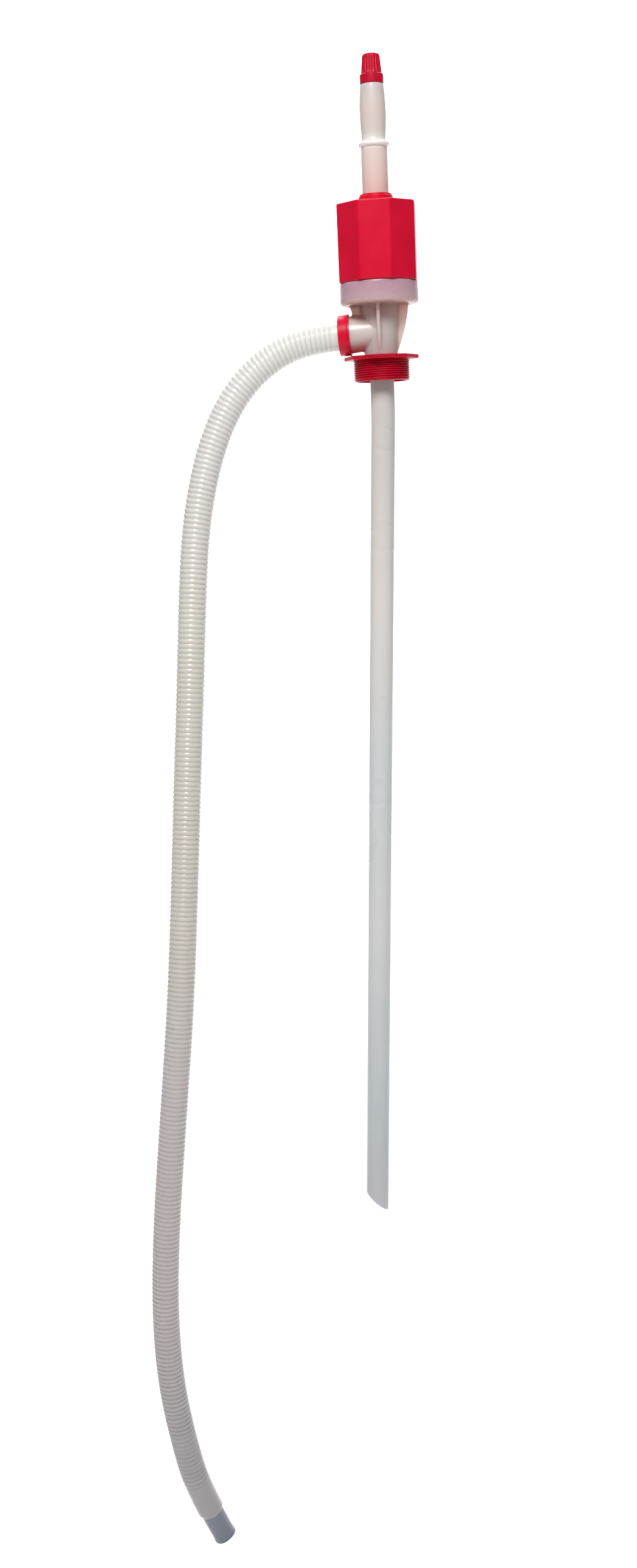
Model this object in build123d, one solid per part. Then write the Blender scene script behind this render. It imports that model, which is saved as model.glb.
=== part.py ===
"""Lift-type plastic drum siphon pump, in millimetres.

The origin is the centre of the bung adapter's flange, on its underside, where it
sits on the drum. +Z runs up the pump's axis and the spout points along -X.
"""
from build123d import *
import math
import os

os.makedirs("parts", exist_ok=True)

# ---- Fits, as radial clearances ----
running_fit = 0.08
seal_fit = 0.03
push_fit = 0.02
loose_fit = 0.3
face_gap = 0.3

# ---- Driving sizes; most of the others follow from these ----
thread_diameter = 59.6
tube_diameter = 25.4
tube_length = 958.0
hose_diameter = 31.0
cylinder_bore = 68.0
housing_height = 78.4
rod_diameter = 27.3
spout_height = 28.2

# ---- Bung adapter, with the 2 inch BSP thread of a steel or plastic drum ----
thread_pitch = 2.309
thread_depth = 1.48
thread_crest = 0.5
thread_count = 9
thread_lead_in = 1.2
adapter_shell = 2.6
flange_across_flats = thread_diameter + 13.4
flange_thickness = 4.0
flange_edge = 0.8
retaining_ring_height = 2.4
retaining_ring_width = 3.0

# ---- Suction tube, 1 inch outside ----
tube_bore = tube_diameter - 3.0
tube_socket = 15.0
tube_set_angle = 2.5
tube_set_start = 54.0
tube_set_radius = 1000.0
tube_slant = 42.0

# ---- Discharge hose ----
hose_bore = hose_diameter - 5.0

# ---- Pump body: hub, neck, spout, cup and gusset ribs in one moulding ----
hub_diameter = tube_diameter + 5.6
hub_length = 16.0
hub_groove_depth = 0.9
neck_bore = hub_diameter
neck_foot_diameter = neck_bore + 4.0
neck_top_diameter = neck_bore + 9.0
neck_floor = 5.5
spout_droop = 2.5
spout_length = 42.0
spout_bore = hose_bore
spout_root_diameter = spout_bore + 10.8
spout_mouth_diameter = hose_diameter + 7.0
spout_flare_start = 22.0
spout_flare_end = 31.0
hose_socket_depth = 11.0
cup_above_spout = 8.6
cup_bottom = spout_height + spout_mouth_diameter / 2 + cup_above_spout
cup_floor = 4.0
cup_height = 22.5
skirt_wall = 3.5
housing_skirt_diameter = cylinder_bore + 2 * skirt_wall
cup_bore = housing_skirt_diameter + 0.4
cup_bottom_diameter = cup_bore + 7.0
cup_top_diameter = cup_bore + 5.6
cup_edge = 4.0
rib_thickness = 3.5
rib_top_reach = cup_bottom_diameter / 2 - 10.7
rib_middle_reach = neck_foot_diameter / 2 + 8.3
rib_middle_height = spout_height + 2.8
rib_root = 10.0
gusset_reach = cup_bottom_diameter / 2 - 8.2
gusset_waist = gusset_reach - 3.5
gusset_root = 15.0

# ---- Hose collar and outlet check valve ----
collar_length = 12.0
collar_big_diameter = spout_mouth_diameter + 4.8
collar_small_diameter = spout_mouth_diameter + 3.2
collar_lip = 1.4
outlet_seat_place = neck_bore / 2 + 4.0
outlet_seat_thickness = 2.5
outlet_port = spout_bore - 8.0
flap_diameter = spout_bore - 3.6
flap_thickness = 1.8
hinge_pin_diameter = 1.6
hinge_pin_length = 11.0
hinge_height = spout_bore / 2 - 2.8
hinge_wall = 1.0
ear_width = 1.4
flap_gap = 0.1
flap_drop = 1.2

# ---- Inlet check valve ----
inlet_seat_thickness = 4.0
inlet_port = neck_bore - 10.0
inlet_disc_diameter = inlet_port + 5.0
inlet_disc_thickness = 2.0
inlet_lift = 4.0
stem_diameter = 3.6
stem_knob_diameter = 6.0
stem_knob_height = 1.6
spider_arm = 2.4
spider_hub = 7.0

# ---- Cylinder, its base and its gasket ----
housing_across_flats = cylinder_bore + 12.0
roof_thickness = 5.0
housing_corner = 3.0
housing_top_edge = 2.0
base_thickness = 3.0
sleeve_diameter = neck_bore - 0.2
sleeve_bore = sleeve_diameter - 4.8
sleeve_bottom = spout_height + spout_bore / 2 + 2.8
gasket_height = 2.6
gasket_width = 1.6

# ---- Gland nut and rod seal ----
gland_diameter = rod_diameter + 8.4
gland_height = 9.0
gland_edge = 1.0
gland_spigot_diameter = rod_diameter + 4.7
gland_spigot_length = 8.0
seal_height = 3.0
boss_wall = 3.5
boss_lip = 2.5

# ---- Piston ----
spigot_diameter = rod_diameter - 3.3
piston_height = 14.0
piston_web = 4.5
piston_rim = 3.2
piston_hub_diameter = spigot_diameter + 14.0
piston_top_gap = 0.6
piston_seal_height = 4.0
piston_seal_depth = 2.0
nut_across_flats = spigot_diameter + 10.0
nut_height = 7.0
spigot_end = 1.0
room_under_piston = 11.8

# ---- Handle tube ----
rod_bore = rod_diameter - 4.8
bead_height = 4.8
bead_diameter = rod_diameter + 4.7
bead_to_waist = 8.4
waist_diameter = rod_diameter - 2.7
waist_to_grip = 25.0
grip_diameter = rod_diameter - 0.3
grip_to_shoulder = 27.7
shoulder_diameter = rod_diameter - 3.1
vent_neck_diameter = shoulder_diameter - 8.2
vent_neck_length = 15.0
vent_bore = vent_neck_diameter - 7.0

# ---- Vent cap ----
cap_band_diameter = shoulder_diameter + 0.3
cap_band_height = 9.3
cap_foot_diameter = vent_neck_diameter + 5.3
cap_crown_diameter = vent_neck_diameter + 2.0
cap_height = vent_neck_length + 14.3
cap_crown_edge = 1.5
cap_flutes = 18
cap_flute_depth = 0.7
flute_length_share = 0.86
flute_start = 0.6
cap_pitch = 3.0
vent_seal_thickness = 2.0

# ---- Route of the hose and its nozzle ----
hose_start = spout_length - hose_socket_depth
# Route of the hose's centre line, (x, y, z): out along the spout, over its arch and down.
hose_route = [
    (-30.97, 0, 26.85),
    (-74.93, 0, 24.93),
    (-117, -1, 8.5),
    (-153, -4, -23),
    (-178, -8, -66),
    (-194, -14, -115),
    (-205, -21, -172),
    (-211, -29, -244),
    (-217, -39, -340),
    (-225, -49, -448),
    (-233, -57, -560),
    (-243, -63, -680),
    (-259, -66, -815),
    (-275, -66, -945),
    (-284, -64, -1055),
    (-283, -60, -1150),
    (-272, -54, -1232),
    (-262, -49, -1283),
    (-247.5, -43.5, -1322),
]
nozzle_diameter = hose_bore + 0.4
nozzle_bore = nozzle_diameter - 5.4
nozzle_length = 62.0
nozzle_insertion = 24.0
nozzle_lip_diameter = nozzle_diameter + 2.0
nozzle_lip_length = 5.0

# ---- Places worked out from the sizes above ----
thread_radius = thread_diameter / 2
shell_bore_radius = thread_radius - thread_depth - adapter_shell
thread_length = thread_lead_in + (thread_count + 0.5) * thread_pitch
hub_radius = hub_diameter / 2
retaining_ring_top = -face_gap
retaining_ring_bottom = retaining_ring_top - retaining_ring_height
neck_bottom = flange_thickness + face_gap
cup_floor_top = cup_bottom + cup_floor
cup_rim = cup_bottom + cup_height
housing_bottom = cup_rim + face_gap
housing_top = housing_bottom + housing_height
base_top = cup_floor_top + base_thickness
cylinder_top = housing_top - roof_thickness
boss_bottom = housing_top - gland_spigot_length - seal_height - boss_lip
seal_bottom = boss_bottom + boss_lip
gland_top = housing_top + gland_height
piston_top = boss_bottom - piston_top_gap
piston_bottom = piston_top - piston_height
nut_bottom = piston_bottom - nut_height
rod_end = nut_bottom - spigot_end
stroke = rod_end - base_top - room_under_piston
bead_bottom = gland_top + face_gap + stroke
waist_height = bead_bottom + bead_to_waist
grip_height = waist_height + waist_to_grip
shoulder_height = grip_height + grip_to_shoulder
vent_neck_top = shoulder_height + vent_neck_length
cap_top = shoulder_height + cap_height


def turned(outline):
    """A solid turned about Z from an outline of (radius, height) corners."""
    corners = [(radius, 0, height) for radius, height in outline]
    face = make_face(Polyline(*corners, close=True))
    return revolve(face, Axis.Z)


def ring(outer_radius, inner_radius, bottom, top):
    """A plain ring about Z."""
    return turned([(inner_radius, bottom), (outer_radius, bottom),
                   (outer_radius, top), (inner_radius, top)])


def rod(radius, bottom, top):
    """A plain round bar about Z."""
    return ring(radius, 0, bottom, top)


def spout_plane(distance):
    """The spout's own frame: +Z out of its mouth, +Y up, that far from the pump's axis."""
    droop = math.radians(spout_droop)
    outward = Vector(-math.cos(droop), 0, -math.sin(droop))
    return Plane(origin=Vector(0, 0, spout_height) + outward * distance,
                 x_dir=(0, -1, 0), z_dir=outward)


def along_spout(solid):
    """Lay a solid made about Z along the spout."""
    return spout_plane(0) * solid


def octagon(across_flats, turn):
    """An octagon about the origin; a turn of 0 puts corners on the axes."""
    return RegularPolygon(across_flats / 2, 8, major_radius=False, rotation=turn)


# ---- Bung adapter ----
def make_bung_adapter():
    flange = extrude(octagon(flange_across_flats, 0), flange_thickness)
    flange = fillet(flange.edges(), flange_edge)
    root_radius = thread_radius - thread_depth
    flank = (thread_pitch - thread_crest) / 2
    outline = [(shell_bore_radius, flange_thickness / 2), (thread_radius, flange_thickness / 2)]
    outline.append((thread_radius, -thread_lead_in))
    height = -thread_lead_in
    for turn in range(thread_count):
        outline.append((root_radius, height - flank))
        outline.append((thread_radius, height - 2 * flank))
        outline.append((thread_radius, height - thread_pitch))
        height -= thread_pitch
    outline.append((root_radius, height - flank))
    outline.append((shell_bore_radius, height - flank))
    web_hole = rod(hub_radius + running_fit, -thread_length, flange_thickness * 2)
    return flange + turned(outline) - web_hole


def make_retaining_ring():
    """Snap ring in the hub's groove, under the adapter's web."""
    return ring(hub_radius + retaining_ring_width, hub_radius - hub_groove_depth + push_fit,
                retaining_ring_bottom, retaining_ring_top)


# ---- Pump body ----
def spout_outline(inner_radius):
    """Half section of the spout's outside, from the pump's axis to the mouth."""
    root = spout_root_diameter / 2
    mouth = spout_mouth_diameter / 2
    return [(inner_radius, 0), (root, 0), (root, spout_flare_start),
            (mouth, spout_flare_end), (mouth, spout_length), (inner_radius, spout_length)]


def make_rib(corners, bulge):
    """A flat gusset in the X-Z plane; its outer edge bends through the bulge point."""
    inner_top, outer_top, outer_foot, inner_foot = [(x, 0, z) for x, z in corners]
    outer_edge = ThreePointArc(outer_top, (bulge[0], 0, bulge[1]), outer_foot)
    edges = [Line(inner_top, outer_top), outer_edge,
             Line(outer_foot, inner_foot), Line(inner_foot, inner_top)]
    return extrude(make_face(edges), rib_thickness / 2, both=True)


def make_pump_body():
    foot = neck_foot_diameter / 2
    inside_floor = cup_bottom + cup_floor / 2
    neck = turned([(0, neck_bottom), (foot, neck_bottom),
                   (neck_top_diameter / 2, inside_floor), (0, inside_floor)])
    hub = rod(hub_radius, -hub_length, neck_floor)
    cup = turned([(0, cup_bottom), (cup_bottom_diameter / 2, cup_bottom),
                  (cup_top_diameter / 2, cup_rim), (0, cup_rim)])
    cup = fillet(cup.edges().group_by(Axis.Z)[0], cup_edge)
    body = neck + hub + cup + along_spout(turned(spout_outline(0)))
    rib_top = cup_bottom + 1
    rib_foot = neck_bottom + 2.5
    rib = make_rib([(rib_root, rib_top), (rib_top_reach, rib_top),
                    (foot - 0.5, rib_foot), (rib_root, rib_foot)],
                   (rib_middle_reach, rib_middle_height))
    for turn in (0, 90, 270):
        body += Rot(0, 0, turn) * rib
    gusset_foot = spout_height + spout_root_diameter / 2 - 1
    body += make_rib([(-gusset_root, rib_top), (-gusset_reach, rib_top),
                      (-gusset_waist, gusset_foot), (-gusset_root, gusset_foot)],
                     (-gusset_waist - 0.6, cup_bottom - 4))
    body -= rod(cup_bore / 2, cup_floor_top, cup_rim + 1)
    body -= rod(neck_bore / 2, neck_floor, cup_rim)
    body -= rod(tube_bore / 2, -hub_length - 1, neck_floor + 1)
    body -= rod(tube_diameter / 2, -hub_length - 1, tube_socket - hub_length)
    body -= ring(hub_radius + 1, hub_radius - hub_groove_depth,
                 retaining_ring_bottom - push_fit, retaining_ring_top + push_fit)
    body -= along_spout(rod(spout_bore / 2, 0, spout_length + 1))
    body -= along_spout(rod(hose_diameter / 2 + push_fit, hose_start, spout_length + 1))
    return body


def make_hose_collar():
    """Ring pressed over the spout's mouth, with a lip that holds the hose's end."""
    start = spout_flare_end + 0.5
    end = start + collar_length
    mouth = spout_mouth_diameter / 2 + push_fit
    lip = hose_diameter / 2 + loose_fit
    outline = [(mouth, start), (collar_big_diameter / 2, start), (collar_small_diameter / 2, end),
               (lip, end), (lip, end - collar_lip), (mouth, end - collar_lip)]
    return along_spout(turned(outline))


# ---- Suction tube ----
def tube_path():
    top = tube_socket - hub_length
    reach = tube_length - tube_set_start
    angle = math.radians(tube_set_angle)
    end = (-reach * math.sin(angle), 0, -tube_set_start - reach * math.cos(angle))
    return FilletPolyline((0, 0, top), (0, 0, -tube_set_start), end, radius=tube_set_radius)


def swept(path, radius):
    """A round bar along a path of straight runs and tangent arcs."""
    start = Plane(origin=path @ 0, z_dir=path % 0)
    return sweep(start * Circle(radius), path=path)


def make_suction_tube():
    path = tube_path()
    tube = swept(path, tube_diameter / 2) - swept(path, tube_bore / 2)
    slant = math.radians(tube_slant)
    cut_point = (path @ 1) - (path % 1) * tube_diameter / 2
    cut = Plane(origin=cut_point, z_dir=(math.sin(slant), 0, math.cos(slant)))
    return split(tube, bisect_by=cut, keep=Keep.TOP)


# ---- Inlet check valve ----
inlet_seat_top = neck_floor + inlet_seat_thickness


def make_inlet_valve_seat():
    seat = ring(neck_bore / 2 - push_fit, inlet_port / 2, neck_floor, inlet_seat_top)
    spider = rod(spider_hub / 2, neck_floor, inlet_seat_top)
    arm_length = inlet_port / 2 + 1
    for arm in range(3):
        bar = Pos(arm_length / 2, 0, (neck_floor + inlet_seat_top) / 2) * Box(
            arm_length, spider_arm, inlet_seat_thickness)
        spider += Rot(0, 0, 120 * arm) * bar
    stem_hole = rod(stem_diameter / 2 + running_fit, neck_floor - 1, inlet_seat_top + 1)
    return seat + spider - stem_hole


def make_inlet_valve_disc():
    """Rubber mushroom: its stem slides in the seat and its knob stops the lift."""
    stem = stem_diameter / 2
    knob = stem_knob_diameter / 2
    disc = inlet_disc_diameter / 2
    knob_top = neck_floor - inlet_lift - face_gap
    knob_bottom = knob_top - stem_knob_height
    disc_bottom = inlet_seat_top + 0.02
    disc_top = disc_bottom + inlet_disc_thickness
    return turned([(0, knob_bottom), (stem, knob_bottom), (knob, knob_top), (stem, knob_top),
                   (stem, disc_bottom), (disc, disc_bottom), (disc, disc_top - 0.8),
                   (stem, disc_top), (0, disc_top)])


# ---- Outlet check valve, drawn in the spout's own frame ----
seat_face = outlet_seat_place + outlet_seat_thickness
knuckle_radius = hinge_pin_diameter / 2 + hinge_wall
pin_place = seat_face + knuckle_radius + flap_gap * 2


def hinge_bar(radius, length):
    """A bar across the spout at the flap's hinge."""
    return Pos(0, hinge_height, pin_place) * Cylinder(radius, length, rotation=(0, 90, 0))


def make_outlet_hinge_pin():
    return along_spout(hinge_bar(hinge_pin_diameter / 2, hinge_pin_length))


def make_outlet_valve_seat():
    """Ring in the spout with two ears that hold the flap's pin."""
    outer = spout_bore / 2 - push_fit
    seat = ring(outer, outlet_port / 2, outlet_seat_place, seat_face)
    for side in (-1, 1):
        ear_x = side * (hinge_pin_length - ear_width) / 2
        root = Box(ear_width, 2 * knuckle_radius, pin_place - seat_face + 1)
        seat += Pos(ear_x, hinge_height, (pin_place + seat_face - 1) / 2) * root
        seat += Pos(ear_x, 0, 0) * hinge_bar(knuckle_radius, ear_width)
    seat &= rod(outer, outlet_seat_place, pin_place + knuckle_radius)
    return along_spout(seat - hinge_bar(hinge_pin_diameter / 2, hinge_pin_length))


def make_outlet_valve_flap():
    """Disc that closes the seat's port and hangs from a knuckle on the pin."""
    face = seat_face + flap_gap
    back = face + flap_thickness
    knuckle_length = hinge_pin_length - 2 * ear_width - 2 * face_gap
    disc = Pos(0, -flap_drop, 0) * rod(flap_diameter / 2, face, back)
    ear_room = 2 * knuckle_radius + 2 * face_gap
    disc -= Pos(0, hinge_height, face) * Box(spout_bore, ear_room, 4 * flap_thickness)
    web_height = knuckle_radius + 3
    web = Pos(0, hinge_height - web_height / 2, (face + back) / 2) * Box(
        knuckle_length, web_height, flap_thickness)
    flap = disc + web + hinge_bar(knuckle_radius, knuckle_length)
    flap &= rod(spout_bore / 2 - face_gap, face, pin_place + knuckle_radius)
    return along_spout(flap - hinge_bar(hinge_pin_diameter / 2 + running_fit, spout_bore))


# ---- Cylinder ----
def make_cylinder_base():
    """Floor of the cylinder, clamped in the cup, with a sleeve down into the neck."""
    floor = ring(housing_skirt_diameter / 2, sleeve_bore / 2, cup_floor_top, base_top)
    sleeve = ring(sleeve_diameter / 2, sleeve_bore / 2, sleeve_bottom, cup_floor_top + 1)
    return floor + sleeve


def make_cylinder_housing():
    prism = Pos(0, 0, housing_bottom) * extrude(
        octagon(housing_across_flats, 22.5), housing_top - housing_bottom)
    prism = fillet(prism.edges().filter_by(Axis.Z), housing_corner)
    prism = fillet(prism.edges().group_by(Axis.Z)[-1], housing_top_edge)
    skirt = rod(housing_skirt_diameter / 2, base_top, housing_bottom + 1)
    housing = prism + skirt - rod(cylinder_bore / 2, base_top - 1, cylinder_top)
    boss_radius = gland_spigot_diameter / 2 + boss_wall
    housing += rod(boss_radius, boss_bottom, cylinder_top + 1)
    housing -= rod(gland_spigot_diameter / 2, seal_bottom, housing_top + 1)
    housing -= rod(rod_diameter / 2 + running_fit, boss_bottom - 1, seal_bottom + 1)
    groove_bottom = cup_rim - 2 * gasket_height
    groove = ring(housing_skirt_diameter / 2 + 1, housing_skirt_diameter / 2 - gasket_width,
                  groove_bottom, groove_bottom + gasket_height)
    return housing - groove


def make_housing_gasket():
    groove_bottom = cup_rim - 2 * gasket_height
    return ring(cup_bore / 2 - push_fit, housing_skirt_diameter / 2 - gasket_width + push_fit,
                groove_bottom + push_fit, groove_bottom + gasket_height - push_fit)


def make_gland_nut():
    bore = rod_diameter / 2 + running_fit
    spigot = gland_spigot_diameter / 2 - push_fit
    flange = gland_diameter / 2
    spigot_bottom = seal_bottom + seal_height
    return turned([(bore, spigot_bottom), (spigot, spigot_bottom), (spigot, housing_top),
                   (flange, housing_top), (flange, gland_top - gland_edge),
                   (flange - gland_edge, gland_top), (bore, gland_top)])


def make_rod_seal():
    return ring(gland_spigot_diameter / 2 - push_fit, rod_diameter / 2 + seal_fit,
                seal_bottom + push_fit, seal_bottom + seal_height - push_fit)


# ---- Handle, piston and vent cap ----
def make_handle_tube():
    spigot = spigot_diameter / 2
    barrel = rod_diameter / 2
    bead = bead_diameter / 2
    waist = waist_diameter / 2
    shoulder = shoulder_diameter / 2
    neck = vent_neck_diameter / 2
    bead_top = bead_bottom + bead_height

    def at(radius, height):
        return (radius, 0, height)

    edges = Polyline(at(0, rod_end), at(spigot, rod_end), at(spigot, piston_top),
                     at(barrel, piston_top), at(barrel, bead_bottom)).edges()
    edges += [ThreePointArc(at(barrel, bead_bottom), at(bead, bead_bottom + bead_height / 2),
                            at(barrel, bead_top)),
              Line(at(barrel, bead_top), at(waist, waist_height)),
              ThreePointArc(at(waist, waist_height), at(grip_diameter / 2, grip_height),
                            at(shoulder, shoulder_height))]
    edges += Polyline(at(shoulder, shoulder_height), at(neck, shoulder_height),
                      at(neck, vent_neck_top), at(0, vent_neck_top), at(0, rod_end)).edges()
    handle = revolve(make_face(edges), Axis.Z)
    wall = (rod_diameter - rod_bore) / 2
    lower = spigot - wall
    upper = waist - wall
    inside = turned([(0, rod_end - 1), (lower, rod_end - 1),
                     (lower, piston_top), (rod_bore / 2, piston_top + wall),
                     (rod_bore / 2, bead_bottom), (upper, waist_height),
                     (upper, shoulder_height - 3 * wall), (vent_bore / 2, shoulder_height - wall),
                     (vent_bore / 2, vent_neck_top + 1), (0, vent_neck_top + 1)])
    return handle - inside


def make_vent_cap():
    """Screw cap: a plain band below and a fluted, tapered crown above."""
    band = cap_band_diameter / 2
    foot = cap_foot_diameter / 2
    crown = cap_crown_diameter / 2
    band_bottom = shoulder_height + 0.2
    band_top = shoulder_height + cap_band_height
    cap = turned([(0, band_bottom), (band, band_bottom), (band, band_top), (foot, band_top),
                  (crown, cap_top), (0, cap_top)])
    cap = fillet(cap.edges().group_by(Axis.Z)[-1], cap_crown_edge)
    seal_room = vent_neck_top + vent_seal_thickness + 0.1
    cap -= rod(vent_neck_diameter / 2 + loose_fit, band_bottom - 1, seal_room)
    taper = math.degrees(math.atan((foot - crown) / (cap_top - band_top)))
    groove_length = (cap_top - band_top) * flute_length_share
    groove_radius = foot - (foot - crown) * 0.45
    for flute in range(cap_flutes):
        groove = Cylinder(cap_flute_depth, groove_length)
        groove = Pos(groove_radius, 0, band_top + groove_length / 2 + flute_start) * (
            Rot(0, -taper, 0) * groove)
        cap -= Rot(0, 0, flute * 360 / cap_flutes) * groove
    return cap


def make_vent_seal():
    return rod(vent_neck_diameter / 2, vent_neck_top + 0.02, vent_neck_top + vent_seal_thickness)


def make_piston_head():
    outer = cylinder_bore / 2 - running_fit
    groove = outer - piston_seal_depth
    middle = (piston_top + piston_bottom) / 2
    web_bottom = middle - piston_web / 2
    web_top = middle + piston_web / 2
    hub = piston_hub_diameter / 2
    rim = groove - piston_rim
    seal_low = middle - piston_seal_height / 2
    seal_high = middle + piston_seal_height / 2
    return turned([(spigot_diameter / 2 + push_fit, piston_bottom), (hub, piston_bottom),
                   (hub, web_bottom), (rim, web_bottom), (rim, piston_bottom),
                   (outer, piston_bottom), (outer, seal_low), (groove, seal_low),
                   (groove, seal_high), (outer, seal_high), (outer, piston_top),
                   (rim, piston_top), (rim, web_top), (hub, web_top), (hub, piston_top),
                   (spigot_diameter / 2 + push_fit, piston_top)])


def make_piston_seal():
    outer = cylinder_bore / 2 - seal_fit
    inner = cylinder_bore / 2 - running_fit - piston_seal_depth + push_fit
    middle = (piston_top + piston_bottom) / 2
    half = piston_seal_height / 2 - push_fit
    return ring(outer, inner, middle - half, middle + half)


def make_piston_nut():
    hexagon = RegularPolygon(nut_across_flats / 2, 6, major_radius=False)
    nut = Pos(0, 0, nut_bottom) * extrude(hexagon, nut_height)
    return nut - rod(spigot_diameter / 2 + push_fit, nut_bottom - 1, piston_bottom + 1)


# ---- Hose and nozzle ----
def hose_runs():
    """The hose's runs, their turns in degrees and the arc that each turn takes."""
    points = [Vector(*point) for point in hose_route]
    runs = [after - before for before, after in zip(points, points[1:])]
    turns = [first.get_angle(second) for first, second in zip(runs, runs[1:])]
    radii = []
    for first, second, turn in zip(runs, runs[1:], turns):
        shorter = min(first.length, second.length)
        radii.append(0.45 * shorter / math.tan(math.radians(turn / 2)))
    return runs, turns, radii


def make_discharge_hose():
    runs, turns, radii = hose_runs()
    path = FilletPolyline(*hose_route, radius=radii)
    hose = swept(path, hose_diameter / 2) - swept(path, hose_bore / 2)
    section = math.pi * (hose_diameter**2 - hose_bore**2) / 4
    print("hose length", round(path.length, 1), "mm")
    print("hose volume against section x length", round(hose.volume / (section * path.length), 4))
    print("hose radii", [round(radius) for radius in radii])
    print("hose turns", [round(turn, 1) for turn in turns])
    print("hose runs", [round(run.length) for run in runs])
    return hose


def make_outlet_nozzle():
    """Plain tube with a flared lip, pushed into the hose's end."""
    last = Vector(*hose_route[-1])
    direction = (last - Vector(*hose_route[-2])).normalized()
    place = Plane(origin=last - direction * nozzle_insertion, z_dir=direction)
    outer = min(nozzle_diameter, hose_bore) / 2 - push_fit
    shown = nozzle_diameter / 2
    lip = nozzle_lip_diameter / 2
    bore = nozzle_bore / 2
    outline = [(bore, 0), (outer, 0), (outer, nozzle_insertion), (shown, nozzle_insertion),
               (shown, nozzle_length - nozzle_lip_length), (lip, nozzle_length - 1),
               (lip, nozzle_length), (lip - (shown - bore), nozzle_length)]
    return place * turned(outline)


pieces = {
    "bung_adapter": make_bung_adapter,
    "adapter_retaining_ring": make_retaining_ring,
    "pump_body": make_pump_body,
    "hose_collar": make_hose_collar,
    "suction_tube": make_suction_tube,
    "inlet_valve_seat": make_inlet_valve_seat,
    "inlet_valve_disc": make_inlet_valve_disc,
    "outlet_valve_seat": make_outlet_valve_seat,
    "outlet_valve_flap": make_outlet_valve_flap,
    "outlet_hinge_pin": make_outlet_hinge_pin,
    "cylinder_base": make_cylinder_base,
    "cylinder_housing": make_cylinder_housing,
    "housing_gasket": make_housing_gasket,
    "gland_nut": make_gland_nut,
    "rod_seal": make_rod_seal,
    "handle_tube": make_handle_tube,
    "piston_head": make_piston_head,
    "piston_seal": make_piston_seal,
    "piston_nut": make_piston_nut,
    "vent_cap": make_vent_cap,
    "vent_seal": make_vent_seal,
    "discharge_hose": make_discharge_hose,
    "outlet_nozzle": make_outlet_nozzle,
}
for name, make in pieces.items():
    export_step(make(), f"parts/{name}.step")
print("stroke", round(stroke, 1), "mm; vent cap lift", 2 * cap_pitch, "mm")
print("piston clears the cylinder's base by", room_under_piston, "mm at full stroke")
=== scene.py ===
"""Studio scene of a lift-type drum siphon pump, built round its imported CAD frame."""
import bpy
import bmesh
import math
from mathutils import Euler, Matrix, Vector


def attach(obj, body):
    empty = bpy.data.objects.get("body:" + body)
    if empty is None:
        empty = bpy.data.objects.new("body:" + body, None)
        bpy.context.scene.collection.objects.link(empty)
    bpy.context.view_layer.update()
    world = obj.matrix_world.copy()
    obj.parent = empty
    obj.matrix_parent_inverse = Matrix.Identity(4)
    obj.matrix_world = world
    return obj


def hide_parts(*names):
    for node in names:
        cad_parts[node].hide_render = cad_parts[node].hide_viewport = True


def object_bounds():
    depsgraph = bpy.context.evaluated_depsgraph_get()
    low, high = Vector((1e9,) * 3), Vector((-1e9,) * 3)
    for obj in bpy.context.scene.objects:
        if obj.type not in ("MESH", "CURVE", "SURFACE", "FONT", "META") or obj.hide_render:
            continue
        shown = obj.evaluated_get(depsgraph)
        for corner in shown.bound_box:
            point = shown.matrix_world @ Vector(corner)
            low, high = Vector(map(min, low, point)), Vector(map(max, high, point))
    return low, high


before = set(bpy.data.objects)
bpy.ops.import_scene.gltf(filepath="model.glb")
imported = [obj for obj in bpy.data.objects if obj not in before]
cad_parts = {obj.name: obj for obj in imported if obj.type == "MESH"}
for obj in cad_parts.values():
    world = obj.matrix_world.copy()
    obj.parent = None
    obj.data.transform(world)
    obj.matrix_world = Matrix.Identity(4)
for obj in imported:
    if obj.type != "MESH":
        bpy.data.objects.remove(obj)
cad_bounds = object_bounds()

MM = 0.001
scene = bpy.context.scene
collection = scene.collection

# ---- Camera: the pump hangs before it, its head leaning a little to the left ----
SENSOR_HEIGHT_MM = 36.0
LENS_MM = 38.43
VIEW_DISTANCE = 1814 * MM
VIEW_SIDE = 66.3 * MM
VIEW_DROP = 102 * MM
VIEW_AZIMUTH = math.radians(4.0)
VIEW_PITCH = math.radians(11.0)
HEAD_LEAN = math.radians(2.5)
FARTHEST_SEEN = 50


def add_camera():
    """Looks a little down at the pump from just below the height of its flange."""
    data = bpy.data.cameras.new("studio_camera")
    data.sensor_fit = "VERTICAL"
    data.sensor_height = SENSOR_HEIGHT_MM
    data.lens = LENS_MM
    data.clip_end = FARTHEST_SEEN
    camera = bpy.data.objects.new("studio_camera", data)
    collection.objects.link(camera)
    reach = math.hypot(VIEW_DISTANCE, VIEW_SIDE)
    heading = VIEW_AZIMUTH + math.atan2(VIEW_SIDE, VIEW_DISTANCE)
    place = Vector((reach * math.sin(VIEW_AZIMUTH), -reach * math.cos(VIEW_AZIMUTH), -VIEW_DROP))
    turn = Euler((math.pi / 2 - VIEW_PITCH, 0, heading))
    upright = Matrix.Translation(place) @ turn.to_matrix().to_4x4()
    camera.matrix_world = Matrix.Rotation(HEAD_LEAN, 4, "Y") @ upright
    scene.camera = camera


add_camera()

# ---- Mesh tools ----


WELD = 1e-7
DEGENERATE = 1e-8
NO_SHARP_EDGES = 180


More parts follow.
